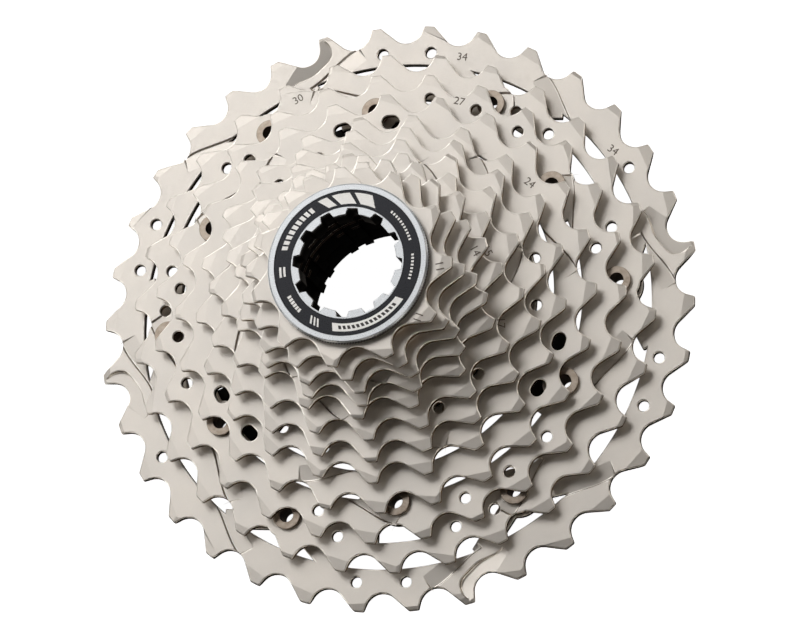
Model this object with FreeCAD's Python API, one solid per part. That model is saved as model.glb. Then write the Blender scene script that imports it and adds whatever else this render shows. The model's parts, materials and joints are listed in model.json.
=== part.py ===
import FreeCAD, Part
import math
import os

# Bicycle cassette, twelve sprockets, lying on the back of its largest sprocket.
# Millimetres.  The axle line is +Z, the back of the largest sprocket is z = 0.
# Angles are in degrees, counter-clockwise seen from the lockring.

# Chain and sprocket plates
CHAIN_PITCH = 12.7
ROLLER_SEAT = 3.9
PLATE = 1.6
STEP = 3.55
GAP = STEP - PLATE
TIP_HEIGHT = 0.4
GATE_TIP_HEIGHT = 1.5
TIP_WIDTH = 2.3
TOOTH_LEAN = 1.0
TIP_CHAMFER = 0.25
TIP_CHAMFER_START = 0.5
TEETH = [34, 30, 27, 24, 21, 19, 17, 15, 14, 13, 12, 11]
FIRST_TIP = [10.15, 8.02, 0.37, 0.22, 11.63, 4.3, 15.56, 2.7, 12.86, 21.3, 26.0, 30.2]

# Splined bore that slides onto the hub body
BORE_R = 17.6
TAB_R = 16.2
SPLINE_COUNT = 9
SPLINE_PHASE = 35.2
TAB_SPREAD = 6.8
TAB_WIDTH = 2.0
HUB_SHOULDER_R = 18.9
HUB_SHOULDER_DEPTH = 5.5

# Shift features: long ramps and chain gates pressed into the front faces
RAMP_FALL = 0.32
RAMP_RUN = 3.6
RAMP_ROUTE = [(-3.7, -0.6), (-6.2, 4.6), (-8.4, 8.4), (-9.6, 12.0)]
GATE_RUN = 1.7
GATE_ROUTE = [(-7.6, 10.7), (-7.0, 8.4), (-6.9, 5.2), (-5.8, 2.6), (-3.8, 0.2), (-1.5, 0.0), (0.9, 1.3)]
RIM_HOLE_R = 1.25

# Flat facets ground on the tooth tips: turn from straight outwards, and reach
FACET_FALL = 0.30
FACET_WIDTH = 9.0
FACETS = {
    "plain": [],
    "lean": [(-20, 2.1)],
    "square": [(-8, 2.7)],
    "short": [(6, 1.9)],
    "double": [(-20, 1.9), (28, 1.6)],
}
FRONT_FACETS = ["lean", "square", "short", "square", "double", "plain", "square"]
BACK_FACETS = ["plain", "square", "plain", "lean"]

# Riveted large unit: 34, 30 and 27 teeth on an aluminium carrier
ARM_PHASE = 35.0
OUTER_RIVET_PHASE = 5.0
SIXTH = 60.0
RIM_34_R = 59.5
RIM_30_R = 50.0
WINDOW_30_R = 54.2
RIM_27_R = 45.1
RIM_24_R = 39.4
OUTER_RIVET_R = 52.5
INNER_RIVET_R = 46.0
MID_RIVET_R = 32.5
UNIT_BORE_R = 29.5
LEG_SPREAD = 14.0
LEG_WIDTH = 4.6
LUG_R = 5.2
ARM_WIDTH = 9.0
TUBE_R = 22.0
CARRIER_DISC_R = 27.0
RIVET_R = 2.2
RIVET_BORE_R = 1.6
RIVET_HEAD_R = 3.2
RIVET_HEAD = 1.1
SINK_R = 3.0
SINK_DEPTH = 0.7
BOTTOM_GAP = 0.1

# Loose spacers and lockring
SPACER_R = 20.5
BOSS_R = 20.0
TOP_BORE_R = 15.9
THREAD_R = 15.3
WASHER_BORE_R = 15.38
WASHER_R = 17.9
WASHER = 0.5
FLANGE_R = 18.1
FLANGE = 1.7
SPIGOT = 4.0
FACE_RING = (12.77, 16.53)
FACE_RING_DEPTH = 0.08
TOOL_TIP_R = 11.0
TOOL_ROOT_R = 12.3
TOOL_NOTCHES = 12
TOOL_NOTCH_MOUTH = 3.2
TOOL_NOTCH_FLOOR = 2.2
TOOL_PHASE = 26.5
KNURL_COUNT = 180
KNURL_DEPTH = 0.22
KNURL_WIDTH = 0.3

AXIS = FreeCAD.Vector(0, 0, 1)
CENTRE = FreeCAD.Vector(0, 0, 0)


def polar(radius, angle, z=0.0):
    turn = math.radians(angle)
    return FreeCAD.Vector(radius * math.cos(turn), radius * math.sin(turn), z)


def around(first, count):
    return [first + 360.0 * k / count for k in range(count)]


def back_of(index):
    return STEP * index


def front_of(index):
    return STEP * index + PLATE


def pitch_radius(teeth):
    return CHAIN_PITCH / 2 / math.sin(math.pi / teeth)


def disc(radius, z0, z1, at=CENTRE):
    return Part.makeCylinder(radius, z1 - z0, FreeCAD.Vector(at.x, at.y, z0), AXIS)


def ring(inner, outer, z0, z1, at=CENTRE):
    return disc(outer, z0, z1, at).cut(disc(inner, z0, z1, at))


def sector(inner, outer, middle, half, z0, z1):
    """A slice of a ring, half degrees to each side of the middle direction."""
    a, b = middle - half, middle + half
    edges = [
        Part.Arc(polar(outer, a, z0), polar(outer, middle, z0), polar(outer, b, z0)).toShape(),
        Part.makeLine(polar(outer, b, z0), polar(inner, b, z0)),
        Part.Arc(polar(inner, b, z0), polar(inner, middle, z0), polar(inner, a, z0)).toShape(),
        Part.makeLine(polar(inner, a, z0), polar(outer, a, z0)),
    ]
    return Part.Face(Part.Wire(edges)).extrude(AXIS * (z1 - z0))


def bar(start, end, width, z0, z1):
    """A flat bar with its centre line from start to end."""
    run = end - start
    piece = Part.makeBox(run.Length, width, z1 - z0, FreeCAD.Vector(0, -width / 2, z0))
    piece.rotate(CENTRE, AXIS, math.degrees(math.atan2(run.y, run.x)))
    piece.translate(FreeCAD.Vector(start.x, start.y, 0))
    return piece


def tangent_point(corner, seat, side):
    """Where the straight flank from a tooth's corner touches the roller seat."""
    away = corner - seat
    swing = math.acos(ROLLER_SEAT / away.Length)
    turn = math.atan2(away.y, away.x) + side * swing
    return seat + FreeCAD.Vector(math.cos(turn), math.sin(turn), 0) * ROLLER_SEAT


def tooth_corners(teeth, tip_angle, height):
    radius = pitch_radius(teeth) + height
    per_mm = math.degrees(1 / radius)
    middle = tip_angle + TOOTH_LEAN * per_mm
    half = TIP_WIDTH / 2 * per_mm
    return polar(radius, middle - half), polar(radius, middle + half)


def toothed_plate(index, gates=()):
    """A solid plate with leaning teeth; the teeth nearest to the gates stand taller."""
    teeth = TEETH[index]
    step = 360.0 / teeth
    seat_r = pitch_radius(teeth)
    tips = around(FIRST_TIP[index], teeth)
    tall = {min(range(teeth), key=lambda k: abs((tips[k] - g + 180) % 360 - 180)) for g in gates}
    heights = [GATE_TIP_HEIGHT if k in tall else TIP_HEIGHT for k in range(teeth)]
    corners = [tooth_corners(teeth, tips[k], heights[k]) for k in range(teeth)]
    edges = []
    for k in range(teeth):
        following = (k + 1) % teeth
        seat = polar(seat_r, tips[k] + step / 2)
        down = tangent_point(corners[k][1], seat, -1)
        up = tangent_point(corners[following][0], seat, 1)
        bottom = polar(seat_r - ROLLER_SEAT, tips[k] + step / 2)
        edges.append(Part.makeLine(corners[k][0], corners[k][1]))
        edges.append(Part.makeLine(corners[k][1], down))
        edges.append(Part.Arc(down, bottom, up).toShape())
        edges.append(Part.makeLine(up, corners[following][0]))
    plate = Part.Face(Part.Wire(edges)).extrude(AXIS * PLATE)
    plate = plate.common(chamfer_envelope(seat_r))
    facets = []
    for k in range(teeth):
        for turn, reach in FACETS[FRONT_FACETS[(3 * k + index) % len(FRONT_FACETS)]]:
            facets.append(facet(corners[k], turn, reach, 1))
        for turn, reach in FACETS[BACK_FACETS[(k + index) % len(BACK_FACETS)]]:
            facets.append(facet(corners[k], turn, reach, -1))
    plate = plate.cut(Part.makeCompound(facets))
    plate.translate(AXIS * back_of(index))
    return plate


def facet(corner_pair, turn, reach, face):
    """A block whose sloping floor grinds one flat on a tooth; face is 1 in front, -1 behind."""
    corner = corner_pair[0] if turn < 0 else corner_pair[1]
    heading = math.degrees(math.atan2(corner.y, corner.x)) + turn
    start = corner - polar(reach, heading)
    slope = math.degrees(math.atan2(FACET_FALL, reach))
    block = Part.makeBox(reach + 3, FACET_WIDTH, 3, FreeCAD.Vector(0, -FACET_WIDTH / 2, 0))
    if face < 0:
        block.translate(AXIS * -3)
    block.rotate(CENTRE, FreeCAD.Vector(0, 1, 0), slope * face)
    block.rotate(CENTRE, AXIS, heading)
    block.translate(FreeCAD.Vector(start.x, start.y, PLATE if face > 0 else 0))
    return block


def chamfer_envelope(seat_r):
    """A disc with sloping rims that thins every tooth towards its tip."""
    reach = seat_r + GATE_TIP_HEIGHT + 1.0
    start = seat_r - TIP_CHAMFER_START
    slope = TIP_CHAMFER / (seat_r + TIP_HEIGHT - start)
    drop = slope * (reach - start)
    outline = [
        FreeCAD.Vector(0, 0, 0),
        FreeCAD.Vector(start, 0, 0),
        FreeCAD.Vector(reach, 0, drop),
        FreeCAD.Vector(reach, 0, PLATE - drop),
        FreeCAD.Vector(start, 0, PLATE),
        FreeCAD.Vector(0, 0, PLATE),
        FreeCAD.Vector(0, 0, 0),
    ]
    return Part.Face(Part.makePolygon(outline)).revolve(CENTRE, AXIS, 360)


def drilled(shape, radius, angles, hole_r, z0, z1):
    for angle in angles:
        shape = shape.cut(disc(hole_r, z0, z1, polar(radius, angle)))
    return shape


def joined(shape, pieces):
    return shape.fuse(pieces).removeSplitter()


def valley_near(index, angle):
    """The middle of the tooth gap nearest to an angle."""
    step = 360.0 / TEETH[index]
    first = FIRST_TIP[index] + step / 2
    return first + step * round((angle - first) / step)


def pressed_step(shape, index, route, run):
    """A curved step in the front face, deepest on the route, level again run further left."""
    z1 = front_of(index)
    curve = Part.BSplineCurve()
    curve.interpolate(route)
    along = route[-1] - route[0]
    left = AXIS.cross(along).normalize()
    near, far = route[0] + left * run, route[-1] + left * run
    edges = [
        curve.toShape(),
        Part.makeLine(route[-1], far),
        Part.makeLine(far, near),
        Part.makeLine(near, route[0]),
    ]
    prism = Part.Face(Part.Wire(edges)).extrude(AXIS * 3)
    prism.translate(AXIS * (z1 - 1.5))
    tilt = math.degrees(math.atan2(RAMP_FALL, run))
    block = Part.makeBox(along.Length + 20, run + 8, 4, FreeCAD.Vector(-10, -run - 8, 0))
    block.rotate(CENTRE, FreeCAD.Vector(1, 0, 0), tilt)
    block.rotate(CENTRE, AXIS, math.degrees(math.atan2(along.y, along.x)))
    block.translate(FreeCAD.Vector(near.x, near.y, z1))
    return shape.cut(prism.common(block))


def shift_ramps(shape, index, angles, way):
    """Steps from a tooth gap inwards; way is 1 for rising angles and -1 for falling ones."""
    radius = pitch_radius(TEETH[index])
    for angle in angles:
        start = valley_near(index, angle)
        route = []
        for inwards, sideways in RAMP_ROUTE:
            reached = radius + inwards
            route.append(polar(reached, start + way * math.degrees(sideways / reached)))
        if way < 0:
            route.reverse()
        shape = pressed_step(shape, index, route, RAMP_RUN)
    return shape


def chain_gates(shape, index, gates):
    """A groove along the flank of each gate tooth and a step beside it."""
    radius = pitch_radius(TEETH[index])
    for gate in gates:
        route = [polar(radius + lift, gate + turn) for lift, turn in GATE_ROUTE]
        shape = pressed_step(shape, index, route, GATE_RUN)
    return shift_ramps(shape, index, [gate - 5.3 for gate in gates], 1)


def spline_cutter(z0, z1):
    """The hub's bore with pairs of narrow tabs left standing, one pair to each hub groove."""
    tabs = []
    for angle in around(SPLINE_PHASE, SPLINE_COUNT):
        for side in (-TAB_SPREAD, TAB_SPREAD):
            start, end = polar(TAB_R - 1, angle + side), polar(BORE_R + 1, angle + side)
            tabs.append(bar(start, end, TAB_WIDTH, z0, z1))
    cutter = disc(BORE_R, z0, z1).cut(Part.makeCompound(tabs))
    return cutter.fuse(disc(TAB_R, z0, z1)).removeSplitter()


def sprocket_34():
    z0, z1 = back_of(0), front_of(0)
    gates = [10.15, 105.3, 190.15, 285.3]
    plate = toothed_plate(0, gates).cut(disc(RIM_34_R, z0, z1))
    extras = []
    for angle in around(OUTER_RIVET_PHASE, 6):
        eye = polar(OUTER_RIVET_R, angle)
        extras.append(disc(LUG_R, z0, z1, eye))
        for side in (-LEG_SPREAD, LEG_SPREAD):
            extras.append(bar(eye, polar(RIM_34_R + 1.0, angle + side), LEG_WIDTH, z0, z1))
    plate = joined(plate, extras)
    holes = [31, 84, 94.5, 158, 168.5]
    plate = drilled(plate, 62.6, holes + [a + 180 for a in holes], RIM_HOLE_R, z0, z1)
    rivets = around(OUTER_RIVET_PHASE, 6)
    plate = drilled(plate, OUTER_RIVET_R, rivets, RIVET_R, z0, z1)
    plate = drilled(plate, OUTER_RIVET_R, rivets, SINK_R, z0, z0 + SINK_DEPTH)
    plate = chain_gates(plate, 0, gates)
    return shift_ramps(plate, 0, [59, 144, 239, 324], -1)


def sprocket_30():
    z0, z1 = back_of(1), front_of(1)
    plate = toothed_plate(1).cut(disc(RIM_30_R, z0, z1))
    extras = [disc(LUG_R, z0, z1, polar(OUTER_RIVET_R, a)) for a in around(OUTER_RIVET_PHASE, 6)]
    for angle in around(ARM_PHASE + SIXTH, 3):
        extras.append(disc(LUG_R, z0, z1, polar(INNER_RIVET_R, angle)))
        extras.append(bar(polar(INNER_RIVET_R, angle), polar(RIM_30_R + 1, angle), 2 * LUG_R, z0, z1))
    plate = joined(plate, extras)
    for angle in around(ARM_PHASE, 3):
        plate = plate.cut(sector(RIM_30_R - 2, WINDOW_30_R, angle, 6.0, z0, z1))
    holes = [a + k for a in (18.8, 48.3, 58.5) for k in (0, 120, 240)]
    plate = drilled(plate, 53.5, holes, RIM_HOLE_R, z0, z1)
    plate = drilled(plate, OUTER_RIVET_R, around(OUTER_RIVET_PHASE, 6), RIVET_R, z0, z1)
    plate = drilled(plate, INNER_RIVET_R, around(ARM_PHASE + SIXTH, 3), RIVET_R, z0, z1)
    plate = shift_ramps(plate, 1, around(110, 3), -1)
    return shift_ramps(plate, 1, around(64.5, 3), 1)


def sprocket_27():
    z0, z1 = back_of(2), front_of(2)
    plate = toothed_plate(2).cut(disc(RIM_27_R, z0, z1))
    extras = [disc(LUG_R, z0, z1, polar(INNER_RIVET_R, a)) for a in around(ARM_PHASE, 6)]
    extras += [sector(43.4, RIM_27_R + 0.5, a, 11.0, z0, z1) for a in around(ARM_PHASE, 6)]
    plate = joined(plate, extras)
    holes = [a + k for a in (13.4, 53.5, 66.8, 80.0) for k in (0, 120, 240)]
    plate = drilled(plate, 49.3, holes, RIM_HOLE_R, z0, z1)
    plate = drilled(plate, INNER_RIVET_R, around(ARM_PHASE, 6), RIVET_R, z0, z1)
    return shift_ramps(plate, 2, around(30, 3), -1)


def sprocket_24():
    z0, z1 = back_of(3), front_of(3)
    plate = toothed_plate(3).cut(disc(RIM_24_R, z0, z1))
    extras = [ring(UNIT_BORE_R, 35.5, z0, z1)]
    extras += [sector(35.0, RIM_24_R + 0.5, a, 15.0, z0, z1) for a in around(97, 3)]
    extras += [sector(35.0, RIM_24_R + 0.5, a, 6.5, z0, z1) for a in around(37, 3)]
    plate = joined(plate, extras)
    for angle in [a + k for a in (89.5, 105.0) for k in (0, 120, 240)]:
        bean = bar(polar(42.2, angle - 0.7), polar(42.2, angle + 0.7), 3.0, z0, z1)
        bean = bean.fuse([disc(1.5, z0, z1, polar(42.2, angle + side)) for side in (-0.7, 0.7)])
        plate = plate.cut(bean)
    plate = drilled(plate, MID_RIVET_R, around(OUTER_RIVET_PHASE, 6), RIVET_R, z0, z1)
    return shift_ramps(plate, 3, around(10, 3), 1)


def sprocket_21():
    z0, z1 = back_of(4), front_of(4)
    plate = toothed_plate(4).cut(disc(UNIT_BORE_R, z0, z1))
    holes = [a + k for a in (11.8, 354.7) for k in (0, 120, 240)]
    plate = drilled(plate, 36.4, holes, RIM_HOLE_R, z0, z1)
    plate = drilled(plate, MID_RIVET_R, around(OUTER_RIVET_PHASE, 6), RIVET_R, z0, z1)
    return shift_ramps(plate, 4, around(60, 3), -1)


def loose_sprocket(index, hole_r=0.0, hole_ring=0.0):
    """A plate that slides on the splines by itself, with lightening holes if asked."""
    z0, z1 = back_of(index), front_of(index)
    plate = toothed_plate(index).cut(spline_cutter(z0, z1))
    if hole_r:
        plate = drilled(plate, hole_ring, around(SPLINE_PHASE + 20, SPLINE_COUNT), hole_r, z0, z1)
    return plate


def sprocket_19():
    plate = loose_sprocket(5, 2.4, 24.6)
    holes = [a + k for a in (60, 81) for k in (0, 120, 240)]
    plate = drilled(plate, 31.3, holes, RIM_HOLE_R, back_of(5), front_of(5))
    return shift_ramps(plate, 5, around(20, 2), -1)


def sprocket_17():
    return shift_ramps(loose_sprocket(6, 1.7, 23.2), 6, around(75, 2), -1)


def sprocket_15():
    return shift_ramps(loose_sprocket(7), 7, around(45, 2), -1)


def sprocket_14():
    return shift_ramps(loose_sprocket(8), 8, around(110, 2), -1)


def bossed_sprocket(index):
    """A small sprocket whose own shoulder keeps it off the next larger one."""
    z0 = back_of(index) - GAP
    plate = toothed_plate(index)
    plate = joined(plate, [disc(BOSS_R, z0, back_of(index) + PLATE / 2)])
    return plate.cut(spline_cutter(z0, front_of(index)))


def sprocket_11():
    """The smallest sprocket: a plain bore, because it sits past the end of the splines."""
    z0, z1 = back_of(11), front_of(11)
    shoulder = disc(TUBE_R - 4.0, z0 - GAP, z0 + PLATE / 2)
    return joined(toothed_plate(11), [shoulder]).cut(disc(TOP_BORE_R, z0 - GAP, z1))


def carrier(z0, z1, flange_z0, disc_r, arm_r, arm_phase, arm_width, end_r):
    """Splined tube with a flange and six arms that the sprockets are riveted to."""
    flange_z1 = flange_z0 + GAP
    body = disc(TUBE_R, z0, z1)
    extras = [disc(disc_r, flange_z0, flange_z1)]
    for angle in around(arm_phase, 6):
        extras.append(bar(polar(TUBE_R - 2, angle), polar(arm_r, angle), arm_width, flange_z0, flange_z1))
        extras.append(disc(end_r, flange_z0, flange_z1, polar(arm_r, angle)))
    body = joined(body, extras).cut(spline_cutter(z0, z1))
    return drilled(body, arm_r, around(arm_phase, 6), RIVET_R, flange_z0, flange_z1)


def carrier_large():
    """The large carrier, opened at the back to clear the hub body's shoulder."""
    z1, flange = back_of(3), front_of(1)
    body = carrier(0, z1, flange, CARRIER_DISC_R, INNER_RIVET_R, ARM_PHASE, ARM_WIDTH, 4.9)
    pads = [sector(39.4, 44.6, a + 2.0, 12.0, flange, flange + GAP) for a in around(ARM_PHASE + SIXTH, 3)]
    body = joined(body, pads).cut(disc(HUB_SHOULDER_R, 0, HUB_SHOULDER_DEPTH))
    return drilled(body, INNER_RIVET_R, around(ARM_PHASE, 6), RIVET_R, flange, flange + GAP)


def carrier_middle():
    z0, z1 = back_of(3), back_of(5)
    return carrier(z0, z1, front_of(3), 26.0, MID_RIVET_R, OUTER_RIVET_PHASE, 7.0, 3.8)


def hollow_rivet(at, z0, z1, back_head, front_head):
    """An eyelet: a tube with a head at each end, each head given as radius and height."""
    shank = disc(RIVET_R, z0, z1, at)
    heads = [
        disc(back_head[0], z0 - back_head[1], z0, at),
        disc(front_head[0], z1, z1 + front_head[1], at),
    ]
    rivet = joined(shank, heads)
    return rivet.cut(disc(RIVET_BORE_R, z0 - back_head[1], z1 + front_head[1], at))


def rivet_set(radius, angles, z0, z1, back_head=(RIVET_HEAD_R, RIVET_HEAD)):
    front_head = (RIVET_HEAD_R, RIVET_HEAD)
    places = [polar(radius, a) for a in angles]
    return Part.makeCompound([hollow_rivet(at, z0, z1, back_head, front_head) for at in places])


def rivets_outer():
    sunk = (SINK_R, SINK_DEPTH - BOTTOM_GAP)
    return rivet_set(OUTER_RIVET_R, around(OUTER_RIVET_PHASE, 6), SINK_DEPTH, front_of(1), sunk)


def rivets_inner_long():
    return rivet_set(INNER_RIVET_R, around(ARM_PHASE + SIXTH, 3), back_of(1), front_of(2))


def rivets_inner_short():
    return rivet_set(INNER_RIVET_R, around(ARM_PHASE, 3), front_of(1), front_of(2))


def rivets_middle():
    small = (2.9, 0.9)
    places = [polar(MID_RIVET_R, a) for a in around(OUTER_RIVET_PHASE, 6)]
    z0, z1 = back_of(3), front_of(4)
    return Part.makeCompound([hollow_rivet(at, z0, z1, small, small) for at in places])


def rivet_spacers():
    places = [polar(OUTER_RIVET_R, a) for a in around(OUTER_RIVET_PHASE, 6)]
    return Part.makeCompound([ring(RIVET_R, 4.0, front_of(0), back_of(1), at) for at in places])


def spacer(index):
    """Plastic ring between two loose sprockets."""
    z0, z1 = front_of(index), back_of(index + 1)
    return disc(SPACER_R, z0, z1).cut(spline_cutter(z0, z1))


def lockring_washer():
    z0 = front_of(11)
    return ring(WASHER_BORE_R, WASHER_R, z0, z0 + WASHER)


def tool_notch(angle, z0, z1):
    """A notch with sloping sides, wider at its mouth than at its floor."""
    mouth, floor = TOOL_NOTCH_MOUTH / 2, TOOL_NOTCH_FLOOR / 2
    inner, outer = TOOL_TIP_R - 0.5, TOOL_ROOT_R
    outline = [(inner, -mouth), (outer, -floor), (outer, floor), (inner, mouth), (inner, -mouth)]
    face = Part.Face(Part.makePolygon([FreeCAD.Vector(x, y, z0) for x, y in outline]))
    notch = face.extrude(AXIS * (z1 - z0))
    notch.rotate(CENTRE, AXIS, angle)
    return notch


def lockring():
    """Flange with a knurled edge and a sunken face, a threaded spigot and a notched tool socket."""
    seat = front_of(11) + WASHER
    top = seat + FLANGE
    bottom = seat - SPIGOT
    body = disc(FLANGE_R, seat, top).fuse(disc(THREAD_R, bottom, seat))
    body = body.removeSplitter().makeChamfer(0.3, [rim_edge(body, FLANGE_R, top)])
    cutter = disc(TOOL_TIP_R, bottom, top)
    notches = []
    for angle in around(TOOL_PHASE, TOOL_NOTCHES):
        notches.append(tool_notch(angle, bottom, top))
    body = body.cut(cutter.fuse(notches)).cut(ring(*FACE_RING, top - FACE_RING_DEPTH, top))
    grooves = []
    for angle in around(0, KNURL_COUNT):
        start, end = polar(FLANGE_R - KNURL_DEPTH, angle), polar(FLANGE_R + 1, angle)
        grooves.append(bar(start, end, KNURL_WIDTH, seat, seat + 1.2))
    return body.cut(Part.makeCompound(grooves))


def rim_edge(shape, radius, z):
    for edge in shape.Edges:
        circle = edge.Curve
        if isinstance(circle, Part.Circle) and abs(circle.Radius - radius) < 0.01:
            if abs(circle.Center.z - z) < 0.01:
                return edge
    raise ValueError("no such edge")


PIECES = {
    "sprocket_34": sprocket_34,
    "sprocket_30": sprocket_30,
    "sprocket_27": sprocket_27,
    "carrier_large": carrier_large,
    "rivets_outer": rivets_outer,
    "rivet_spacers": rivet_spacers,
    "rivets_inner_long": rivets_inner_long,
    "rivets_inner_short": rivets_inner_short,
    "sprocket_24": sprocket_24,
    "sprocket_21": sprocket_21,
    "carrier_middle": carrier_middle,
    "rivets_middle": rivets_middle,
    "sprocket_19": sprocket_19,
    "spacer_19_17": lambda: spacer(5),
    "sprocket_17": sprocket_17,
    "spacer_17_15": lambda: spacer(6),
    "sprocket_15": sprocket_15,
    "spacer_15_14": lambda: spacer(7),
    "sprocket_14": sprocket_14,
    "spacer_14_13": lambda: spacer(8),
    "sprocket_13": lambda: loose_sprocket(9),
    "sprocket_12": lambda: bossed_sprocket(10),
    "sprocket_11": sprocket_11,
    "lockring_washer": lockring_washer,
    "lockring": lockring,
}

for name, make in PIECES.items():
    shape = make()
    if not shape.isValid():
        raise ValueError(name + " is not valid")
    shape.exportStep("parts/" + name + ".step")
    print(name, len(shape.Solids), round(shape.Volume), len(shape.Faces))
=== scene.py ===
import json
import math

import bmesh
import bpy
from mathutils import Matrix, Vector


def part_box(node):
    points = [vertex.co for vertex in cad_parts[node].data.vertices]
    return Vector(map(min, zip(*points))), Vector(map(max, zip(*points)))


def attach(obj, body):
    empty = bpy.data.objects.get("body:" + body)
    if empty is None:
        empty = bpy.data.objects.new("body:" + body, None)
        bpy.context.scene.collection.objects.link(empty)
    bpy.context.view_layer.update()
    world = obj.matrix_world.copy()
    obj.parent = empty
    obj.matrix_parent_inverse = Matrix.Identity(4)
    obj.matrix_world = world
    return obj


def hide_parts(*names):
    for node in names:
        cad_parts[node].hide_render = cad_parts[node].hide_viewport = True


MM = 0.001

# Lengths are in millimetres and angles in degrees, counter-clockwise as seen from the lockring

# Lockring: the radii of its black ring, how far that is sunk, and how far below the top the knurl
# turns dark and then the whole piece, down in the bore, takes a near-black painted shade
BLACK_RING = (12.77, 16.53)
RECESS = 0.08
KNURL_DROP = 0.75
FLANGE_DROP = 1.9

# Rolled edges: their width on the sprockets and elsewhere, their steps, the gap merged first, the bends
# that are rolled and those shaded as smooth, and how level a face is, from 0 upright to 1 flat, for a
# rolled one to take the smoother finish with a painted highlight and for any to count as a wall
PLATE_ROLL = 0.27
OTHER_ROLL = 0.1
ROLL_STEPS = 3
MERGE = 0.002
SHARP_BEND = 40
SMOOTH_BEND = 24
PAINTED_HIGHLIGHT_LEVEL = (0.2, 0.985)
WALL_LEVEL = 0.3

# Stamps and prints
FIGURE_SIZE = 2.6
FIGURE_LIFT = 0.02
WHITE_LIFT = 0.04
DARK_LIFT = 0.02
BLOCK_STEP = 2

# Camera and studio
CAMERA_PLACE = (223.93, -240.30, 839.03)
CAMERA_TURN = (15.9025, 14.3345, 2.0125)
CAMERA_LENS = 177.95
LIGHTS_AIM = 20
FLOOR_HALF = 6000
FLOOR_Z = -0.6
CARD_REACH = (71, 420)
CARD_ARC = (5, 215)
CARD_Z = (-0.5, -0.3)
FAR_WALL = 122

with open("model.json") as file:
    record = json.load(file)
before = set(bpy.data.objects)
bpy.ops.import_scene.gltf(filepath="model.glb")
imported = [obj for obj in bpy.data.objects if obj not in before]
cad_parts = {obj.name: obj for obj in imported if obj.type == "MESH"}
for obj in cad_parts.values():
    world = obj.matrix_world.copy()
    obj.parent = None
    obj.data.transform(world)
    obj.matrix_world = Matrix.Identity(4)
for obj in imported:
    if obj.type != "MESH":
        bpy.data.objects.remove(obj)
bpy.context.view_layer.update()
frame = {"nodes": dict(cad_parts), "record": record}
nodes = frame["nodes"]
groups = frame["record"]["behaviour"]["bodies"]
body_of = {node: body for body, members in groups.items() for node in members}
lockring_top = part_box("lockring")[1].z / MM


# ---------------------------------------------------------------- materials

def set_range(node, low, high, out_low, out_high):
    """Gives a Map Range node its four numbers."""
    node.inputs["From Min"].default_value = low
    node.inputs["From Max"].default_value = high
    node.inputs["To Min"].default_value = out_low
    node.inputs["To Max"].default_value = out_high


class Finish:
    """A procedural material, built a node at a time."""

    def __init__(self, name):
        self.material = bpy.data.materials.new(name)
        self.material.use_nodes = True
        self.tree = self.material.node_tree
        self.shader = self.tree.nodes["Principled BSDF"]
        self.place = self.add("ShaderNodeTexCoord").outputs["Object"]

    def add(self, kind, **settings):
        node = self.tree.nodes.new(kind)
        for name, value in settings.items():
            setattr(node, name, value)
        return node

    def link(self, source, target):
        self.tree.links.new(source, target)

    def set(self, **values):
        for name, value in values.items():
            self.shader.inputs[name.replace("_", " ")].default_value = value

    def noise(self, size_mm, detail=3.0, stretch=(1, 1, 1)):
        """Noise with lumps of about the given size."""
        mapping = self.add("ShaderNodeMapping")
        mapping.inputs["Scale"].default_value = stretch
        self.link(self.place, mapping.inputs["Vector"])
        node = self.add("ShaderNodeTexNoise")
        node.inputs["Scale"].default_value = 1 / (size_mm * MM)
        node.inputs["Detail"].default_value = detail
        self.link(mapping.outputs["Vector"], node.inputs["Vector"])
        return node.outputs["Fac"]

    def spread(self, value, low, high, out_low=0.0, out_high=1.0):
        node = self.add("ShaderNodeMapRange")
        set_range(node, low, high, out_low, out_high)
        self.link(value, node.inputs["Value"])
        return node.outputs["Result"]

    def math(self, operation, first, second=0.0):
        node = self.add("ShaderNodeMath", operation=operation)
        for socket, value in zip(node.inputs, (first, second)):
            if isinstance(value, (int, float)):
                socket.default_value = value
            else:
                self.link(value, socket)
        return node.outputs["Value"]

    def mix(self, factor, first, second):
        node = self.add("ShaderNodeMix", data_type="RGBA")
        self.link(factor, node.inputs["Factor"])
        for socket, value in ((node.inputs["A"], first), (node.inputs["B"], second)):
            if isinstance(value, tuple):
                socket.default_value = (*value, 1)
            else:
                self.link(value, socket)
        return node.outputs["Result"]

    def parts(self, vector):
        """The X, Y and Z of a vector."""
        node = self.add("ShaderNodeSeparateXYZ")
        self.link(vector, node.inputs["Vector"])
        return node.outputs

    def radius(self):
        """Distance from the axle in metres."""
        parts = self.parts(self.place)
        squares = [self.math("MULTIPLY", parts[axis], parts[axis]) for axis in ("X", "Y")]
        return self.math("SQRT", self.math("ADD", *squares))

    def walls(self):
        """1 on upright faces, 0 on level ones."""
        geometry = self.add("ShaderNodeNewGeometry")
        level = self.math("ABSOLUTE", self.parts(geometry.outputs["Normal"])["Z"])
        return self.spread(level, 0.35, 0.75, 1.0, 0.0)

    def bump(self, height, strength, depth_mm):
        node = self.add("ShaderNodeBump")
        node.inputs["Strength"].default_value = strength
        node.inputs["Distance"].default_value = depth_mm * MM
        self.link(height, node.inputs["Height"])
        self.link(node.outputs["Normal"], self.shader.inputs["Normal"])

    def colour(self, value):
        self.link(value, self.shader.inputs["Base Color"])

    def roughness(self, value):
        self.link(value, self.shader.inputs["Roughness"])


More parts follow.
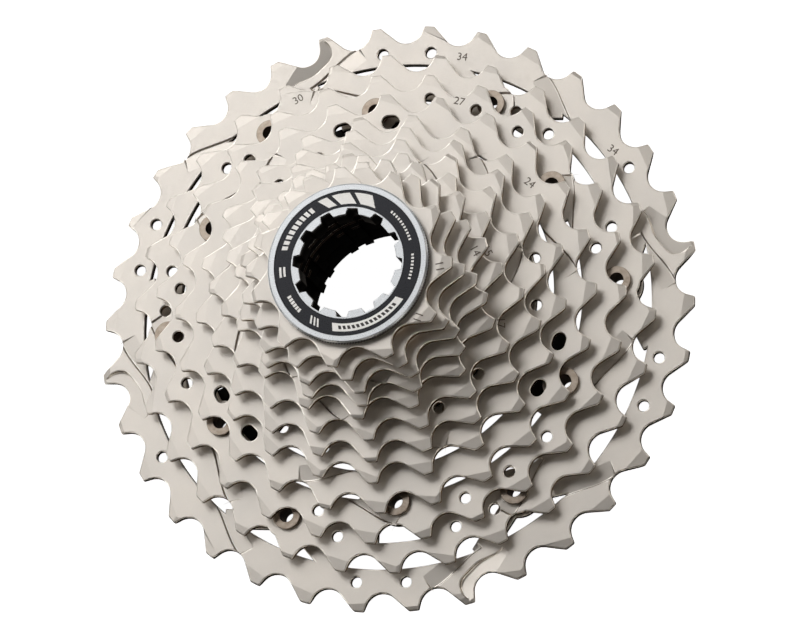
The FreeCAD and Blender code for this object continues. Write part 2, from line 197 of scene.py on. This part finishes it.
def nickel_finish():
    """Satin nickel plate: warm, almost even faces, and smoother upright walls whose dark brown and tan
    streaks are partly the sheared steel's own tone and partly painted shade and painted reflections.
    """
    finish = Finish("nickel_steel_satin")
    clouds = finish.noise(14, 4.0)
    grain = finish.noise(0.35, 2.0)
    face = finish.mix(finish.spread(clouds, 0.35, 0.65), (0.79, 0.750, 0.700), (0.74, 0.708, 0.668))
    # Upright walls: dark brown and tan streaks, partly the sheared steel's own tone, partly painted shade
    # and painted reflections
    wall_shade_streaks = finish.noise(1.6, 3.0, (1, 1, 0.25))
    wall = finish.mix(finish.spread(wall_shade_streaks, 0.35, 0.7), (0.08, 0.036, 0.013), (0.40, 0.255, 0.135))
    walls = finish.walls()
    finish.colour(finish.mix(walls, face, wall))
    satin = finish.spread(grain, 0.3, 0.7, 0.42, 0.51)
    finish.roughness(finish.math("SUBTRACT", satin, finish.math("MULTIPLY", walls, 0.26)))
    ripple = finish.math("MULTIPLY", finish.math("MULTIPLY", wall_shade_streaks, walls), 6.0)
    finish.bump(finish.math("ADD", grain, ripple), 0.12, 0.01)
    finish.set(Metallic=0.9)
    return finish.material


def bright_edge_finish():
    """The rolled edges of the sprockets, smoother than the faces beside them, with a brighter colour as a
    painted highlight.
    """
    finish = Finish("nickel_edge_painted_highlight")
    edge_highlight_mottle = finish.noise(2.2, 3.0)
    # Painted highlight: base colours brighter than the faces, standing in for the light the rolled edges
    # catch
    finish.colour(finish.mix(finish.spread(edge_highlight_mottle, 0.35, 0.65), (0.96, 0.93, 0.88), (0.84, 0.80, 0.75)))
    finish.roughness(finish.spread(edge_highlight_mottle, 0.3, 0.7, 0.30, 0.42))
    finish.set(Metallic=1.0)
    return finish.material


def black_aluminium_finish():
    finish = Finish("black_anodised_aluminium")
    grain = finish.noise(0.25, 2.0)
    clouds = finish.noise(9, 3.0)
    mottle = finish.spread(clouds, 0.35, 0.65)
    finish.colour(finish.mix(mottle, (0.010, 0.010, 0.010), (0.018, 0.017, 0.017)))
    finish.roughness(finish.spread(grain, 0.3, 0.7, 0.46, 0.60))
    finish.bump(grain, 0.15, 0.01)
    finish.set(Specular_IOR_Level=0.25)
    return finish.material


def black_plastic_finish():
    finish = Finish("black_moulded_plastic")
    grain = finish.noise(0.5, 3.0)
    finish.colour(finish.mix(finish.spread(grain, 0.3, 0.7), (0.008, 0.008, 0.009), (0.014, 0.014, 0.014)))
    finish.roughness(finish.spread(grain, 0.3, 0.7, 0.48, 0.62))
    finish.bump(grain, 0.2, 0.02)
    return finish.material


def rivet_finish():
    finish = Finish("rivet_dark_steel")
    clouds = finish.noise(1.5, 3.0)
    finish.colour(finish.mix(finish.spread(clouds, 0.3, 0.7), (0.22, 0.18, 0.145), (0.42, 0.365, 0.31)))
    finish.roughness(finish.spread(clouds, 0.3, 0.7, 0.30, 0.42))
    finish.bump(clouds, 0.1, 0.02)
    finish.set(Metallic=1.0)
    return finish.material


def washer_finish():
    finish = Finish("washer_dark_steel")
    clouds = finish.noise(2.5, 3.0)
    finish.colour(finish.mix(finish.spread(clouds, 0.3, 0.7), (0.16, 0.15, 0.14), (0.24, 0.22, 0.21)))
    finish.roughness(finish.spread(clouds, 0.3, 0.7, 0.32, 0.45))
    finish.set(Metallic=1.0)
    return finish.material


def lockring_finish():
    """Turned bright metal, with a black ring on top, a dark knurl, and a near-black painted shade below
    the flange, down in the bore.
    """
    finish = Finish("lockring_turned_metal")
    radius = finish.radius()
    height = finish.parts(finish.place)["Z"]
    inner = finish.math("GREATER_THAN", radius, BLACK_RING[0] * MM)
    outer = finish.math("LESS_THAN", radius, BLACK_RING[1] * MM)
    band = finish.math("MULTIPLY", inner, outer)
    # Below the flange, down in the bore: the colour there is a near-black painted shade
    low = finish.math("LESS_THAN", height, (lockring_top - FLANGE_DROP) * MM)
    grain = finish.noise(0.3, 2.0)
    turning = finish.add("ShaderNodeTexWave", wave_type="BANDS", bands_direction="X")
    turning.inputs["Scale"].default_value = 900
    turning.inputs["Distortion"].default_value = 0.6
    ruler = finish.add("ShaderNodeCombineXYZ")
    finish.link(radius, ruler.inputs["X"])
    finish.link(ruler.outputs["Vector"], turning.inputs["Vector"])
    bright = finish.mix(finish.spread(grain, 0.3, 0.7), (0.43, 0.455, 0.48), (0.50, 0.52, 0.545))
    below = finish.math("LESS_THAN", height, (lockring_top - KNURL_DROP) * MM)
    knurl = finish.math("MULTIPLY", finish.walls(), below)
    bright = finish.mix(knurl, bright, (0.05, 0.048, 0.045))
    ring = finish.mix(finish.spread(grain, 0.3, 0.7), (0.014, 0.015, 0.018), (0.022, 0.023, 0.027))
    # Below the flange a near-black painted shade; above it the black ring, the dark knurl and the bright
    # metal
    finish.colour(finish.mix(low, finish.mix(band, bright, ring), (0.003, 0.003, 0.003)))
    finish.roughness(finish.spread(grain, 0.3, 0.7, 0.26, 0.36))
    finish.bump(turning.outputs["Fac"], 0.06, 0.01)
    finish.set(Metallic=0.85)
    return finish.material


def marked_finish(name, first, second, metallic=0.0):
    """The even colour of a stamped figure or a printed mark, with a fine speck."""
    finish = Finish(name)
    speck = finish.noise(0.18, 2.0)
    finish.colour(finish.mix(finish.spread(speck, 0.35, 0.7), first, second))
    finish.roughness(finish.spread(speck, 0.3, 0.7, 0.45, 0.6))
    finish.set(Metallic=metallic)
    return finish.material


MATERIALS = {
    "nickel_steel": nickel_finish(),
    "black_aluminium": black_aluminium_finish(),
    "black_plastic": black_plastic_finish(),
    "rivet_steel": rivet_finish(),
    "washer_steel": washer_finish(),
    "lockring_metal": lockring_finish(),
}
painted_highlight_edge = bright_edge_finish()
stamp_dark = marked_finish("stamped_mark_brown", (0.10, 0.075, 0.055), (0.20, 0.155, 0.12))
print_white = marked_finish("printed_white", (0.95, 0.95, 0.94), (0.88, 0.88, 0.87), 0.85)
print_dark = marked_finish("printed_dark", (0.03, 0.03, 0.032), (0.06, 0.06, 0.062))


# ---------------------------------------------------------------- pieces

def polar(radius, angle, z=0.0):
    turn = math.radians(angle)
    return Vector((radius * math.cos(turn), radius * math.sin(turn), z))


def finished_mesh(shape, name):
    """Turns a bmesh into a mesh and frees it."""
    mesh = bpy.data.meshes.new(name)
    shape.to_mesh(mesh)
    shape.free()
    return mesh


def place_object(name, data):
    item = bpy.data.objects.new(name, data)
    bpy.context.scene.collection.objects.link(item)
    return item


def show(mesh, name, material, body):
    """A piece of the cassette that rides on one body."""
    mesh.materials.append(material)
    piece = place_object(name, mesh)
    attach(piece, body)
    return piece


def rolled_edges(node, roll_mm):
    """A CAD node's shape with every sharp edge rolled over a little, kept inside the node's height."""
    low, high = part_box(node)
    shape = bmesh.new()
    shape.from_mesh(nodes[node].data)
    bmesh.ops.remove_doubles(shape, verts=shape.verts, dist=MERGE * MM)
    sharp = [edge for edge in shape.edges if edge.calc_face_angle(0) > math.radians(SHARP_BEND)]
    rolled = bmesh.ops.bevel(
        shape, geom=sharp, offset=roll_mm * MM, affect="EDGES", segments=ROLL_STEPS, profile=0.5,
        material=-1, clamp_overlap=False,
    )
    shape.normal_update()
    # Rolled faces neither flat nor upright take material slot 1: on the sprockets the smoother edge finish
    # with a painted highlight
    for face in rolled["faces"]:
        if PAINTED_HIGHLIGHT_LEVEL[0] < abs(face.normal.z) < PAINTED_HIGHLIGHT_LEVEL[1]:
            face.material_index = 1
    for vertex in shape.verts:
        vertex.co.z = min(max(vertex.co.z, low.z), high.z)
    for face in shape.faces:
        face.smooth = abs(face.normal.z) < WALL_LEVEL
    for edge in shape.edges:
        edge.smooth = edge.calc_face_angle(0) < math.radians(SMOOTH_BEND)
    return finished_mesh(shape, node + "_finished")


# The finish of each kind of piece, by how its node's name starts: the first that fits is taken
SLOTS = {
    "sprocket": "nickel_steel",
    "carrier": "black_aluminium",
    "spacer": "black_plastic",
    "rivet": "rivet_steel",
    "lockring_washer": "washer_steel",
    "lockring": "lockring_metal",
}
for node in nodes:
    slot = next(slot for start, slot in SLOTS.items() if node.startswith(start))
    roll = PLATE_ROLL if slot == "nickel_steel" else OTHER_ROLL
    piece = show(rolled_edges(node, roll), node + "_finished", MATERIALS[slot], body_of[node])
    # Slot 1: on the sprockets the edge finish whose brighter colour is a painted highlight; elsewhere the
    # piece's own finish
    piece.data.materials.append(painted_highlight_edge if slot == "nickel_steel" else MATERIALS[slot])
    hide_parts(node)


# ---------------------------------------------------------------- stamps and prints

def raise_number(text, size, radius, angle, z, turn, lift):
    """A number as a thin closed plate, read from outside, standing lift above z."""
    curve = bpy.data.curves.new("number", "FONT")
    curve.body = text
    curve.size = size * MM
    curve.align_x = "CENTER"
    curve.align_y = "CENTER"
    curve.extrude = lift / 2 * MM
    curve.resolution_u = 3
    holder = place_object("number", curve)
    mesh = bpy.data.meshes.new_from_object(holder)
    bpy.data.objects.remove(holder)
    bpy.data.curves.remove(curve)
    place = polar(radius, angle, z + lift / 2) * MM
    mesh.transform(Matrix.Translation(place) @ Matrix.Rotation(math.radians(turn), 4, "Z"))
    return mesh


def joined_mesh(meshes, name):
    """Several small meshes as one, closed and facing outwards."""
    shape = bmesh.new()
    for mesh in meshes:
        shape.from_mesh(mesh)
        bpy.data.meshes.remove(mesh)
    bmesh.ops.remove_doubles(shape, verts=shape.verts, dist=1e-7)
    bmesh.ops.recalc_face_normals(shape, faces=shape.faces)
    return finished_mesh(shape, name)


def ring_block(inner, outer, start, end, z0, z1, slant=0.0):
    """A closed block along a ring, its ends slanted by so many degrees."""
    shape = bmesh.new()
    near = shape.verts.new(polar(inner, start, z0) * MM)
    far = shape.verts.new(polar(outer, start + slant, z0) * MM)
    side = shape.edges.new((near, far))
    bmesh.ops.spin(
        shape, geom=[near, far, side], cent=(0, 0, 0), axis=(0, 0, 1), angle=math.radians(end - start),
        steps=max(2, int(abs(end - start) / BLOCK_STEP)), use_merge=False, use_duplicate=False,
    )
    raised = bmesh.ops.extrude_face_region(shape, geom=shape.faces[:])
    moved = [item for item in raised["geom"] if isinstance(item, bmesh.types.BMVert)]
    bmesh.ops.translate(shape, verts=moved, vec=Vector((0, 0, z1 - z0)) * MM)
    bmesh.ops.recalc_face_normals(shape, faces=shape.faces)
    return finished_mesh(shape, "block")


# Tooth counts stamped beside a tooth: plate, radius, angle, turn of the figures
STAMPS = [
    (34, 61.9, 36.2, -36), (34, 62.4, 77.0, -8), (30, 56.5, 115.0, 30), (27, 50.0, 72.0, -15),
    (24, 42.3, 38.2, -38), (17, 31.4, 343.0, -88), (15, 28.0, 13.0, -60), (14, 26.0, 12.0, -62),
    (11, 20.0, 322.0, -110), (11, 20.2, 357.0, -80),
]
for index, (count, radius, angle, turn) in enumerate(STAMPS):
    plate = "sprocket_%d" % count
    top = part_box(plate)[1].z / MM
    figures = raise_number(str(count), FIGURE_SIZE, radius, angle, top, turn, FIGURE_LIFT)
    name = "tooth_count_%d_%d" % (count, index)
    show(joined_mesh([figures], "stamp"), name, stamp_dark, body_of[plate])

# Prints in the lockring's black ring: inner and outer radius, first and last angle, slant of the ends
WHITE_PRINTS = [
    (13.4, 15.9, 64, 79, 7), (13.4, 15.9, 83, 98, 7), (13.4, 15.9, 102, 110, 7),
    (13.9, 15.6, 240, 241.6, 3), (13.9, 15.6, 236.5, 238.2, 3), (13.9, 15.6, 243.2, 244.8, 3),
    (13.8, 15.6, 258, 324, 2), (14.0, 14.5, 182, 191, 0), (14.9, 15.4, 182, 191, 0),
]
WHITE_PRINTS += [(14.1, 15.4, angle, angle + 3.4, 1) for angle in range(123, 167, 5)]
WHITE_PRINTS += [(14.3, 15.2, angle, angle + 2.2, 0) for angle in range(209, 225, 3)]
WHITE_PRINTS += [(14.4, 15.0, angle, angle + 1.6, 0) for angle in range(343, 365, 3)]
WHITE_PRINTS += [(14.4, 15.0, angle, angle + 1.6, 0) for angle in range(18, 50, 3)]
DARK_PRINTS = [(14.3, 15.1, angle, angle + 2.4, 1) for angle in range(264, 318, 4)]


def lockring_prints(prints, name, material, low, high):
    blocks = []
    for inner, outer, start, end, slant in prints:
        blocks.append(ring_block(inner, outer, start, end, low, high, slant))
    show(joined_mesh(blocks, "prints"), name, material, "lockring_body")


ring_floor = lockring_top - RECESS
white_top = ring_floor + WHITE_LIFT
lockring_prints(WHITE_PRINTS, "lockring_white_prints", print_white, ring_floor, white_top)
lockring_prints(DARK_PRINTS, "lockring_dark_prints", print_dark, white_top, white_top + DARK_LIFT)


# ---------------------------------------------------------------- floor, light and camera

def white_paper():
    """Matt white that also glows, so that it stays pale where little light falls."""
    material = bpy.data.materials.new("pale_floor")
    material.use_nodes = True
    shader = material.node_tree.nodes["Principled BSDF"]
    shader.inputs["Base Color"].default_value = (0.9, 0.9, 0.9, 1)
    shader.inputs["Roughness"].default_value = 1.0
    shader.inputs["Emission Color"].default_value = (1, 1, 1, 1)
    shader.inputs["Emission Strength"].default_value = 1.0
    return material


def staged(mesh, name, material, reflected):
    """A sheet of the studio that lights no matt surface, and that metal mirrors only if reflected."""
    mesh.materials.append(material)
    sheet = place_object(name, mesh)
    sheet.visible_diffuse = False
    sheet.visible_glossy = reflected


def studio_floor():
    """A wide pale floor, and a card on its far side that the rolled edges mirror."""
    shape = bmesh.new()
    bmesh.ops.create_grid(shape, x_segments=4, y_segments=4, size=FLOOR_HALF * MM)
    bmesh.ops.translate(shape, verts=shape.verts, vec=Vector((0, 0, FLOOR_Z * MM)))
    paper = white_paper()
    staged(finished_mesh(shape, "studio_floor"), "studio_floor", paper, False)
    staged(ring_block(*CARD_REACH, *CARD_ARC, *CARD_Z), "bounce_card", paper, True)


def soft_light(name, azimuth, elevation, distance, size, power, colour):
    """A square softbox that looks at the middle of the cassette. Distance and size are in metres."""
    data = bpy.data.lights.new(name, "AREA")
    data.size = size
    data.energy = power
    data.color = colour
    lamp = place_object(name, data)
    flat = distance * math.cos(math.radians(elevation))
    lamp.location = polar(flat, azimuth, distance * math.sin(math.radians(elevation)))
    aim = Vector((0, 0, LIGHTS_AIM * MM))
    lamp.rotation_euler = (aim - lamp.location).to_track_quat("-Z", "Y").to_euler()


def studio_world():
    """Dim all round, with a paler wall on the far side for low views to mirror."""
    world = bpy.data.worlds.new("studio")
    world.use_nodes = True
    tree = world.node_tree
    background = tree.nodes["Background"]
    background.inputs["Color"].default_value = (1.0, 0.90, 0.80, 1)
    direction = tree.nodes.new("ShaderNodeTexCoord").outputs["Generated"]
    toward = tree.nodes.new("ShaderNodeVectorMath")
    toward.operation = "DOT_PRODUCT"
    toward.inputs[1].default_value = polar(1, FAR_WALL)
    tree.links.new(direction, toward.inputs[0])
    fade = tree.nodes.new("ShaderNodeMapRange")
    set_range(fade, 0.0, 0.9, 0.012, 0.20)
    tree.links.new(toward.outputs["Value"], fade.inputs["Value"])
    tree.links.new(fade.outputs["Result"], background.inputs["Strength"])
    bpy.context.scene.world = world


studio_floor()
soft_light("overhead_softbox", 128, 58, 1.9, 0.85, 7.1, (1.0, 0.985, 0.965))
soft_light("key_softbox", 185, 50, 1.3, 0.35, 1.3, (1.0, 0.98, 0.95))
soft_light("edge_softbox", 134, 34, 1.3, 0.30, 1.3, (1.0, 0.98, 0.95))
soft_light("right_softbox", 40, 52, 1.6, 0.55, 1.6, (1.0, 0.95, 0.88))
soft_light("front_softbox", 318, 34, 1.6, 0.55, 1.7, (1.0, 0.96, 0.90))

# Small low lights round the near side, azimuth to elevation, highest in the middle
RIM_LIGHTS = {205: 6, 242: 13, 278: 19, 315: 21, 352: 19, 29: 13, 66: 6}
for azimuth, elevation in RIM_LIGHTS.items():
    soft_light("rim_light_%d" % azimuth, azimuth, elevation, 0.9, 0.14, 0.30, (1.0, 0.90, 0.78))
studio_world()

lens = bpy.data.cameras.new("camera")
lens.lens = CAMERA_LENS
lens.sensor_width = 36
lens.clip_end = 20
camera = place_object("camera", lens)
camera.location = Vector(CAMERA_PLACE) * MM
camera.rotation_euler = [math.radians(angle) for angle in CAMERA_TURN]
bpy.context.scene.camera = camera
bpy.context.scene.view_settings.view_transform = "Standard"
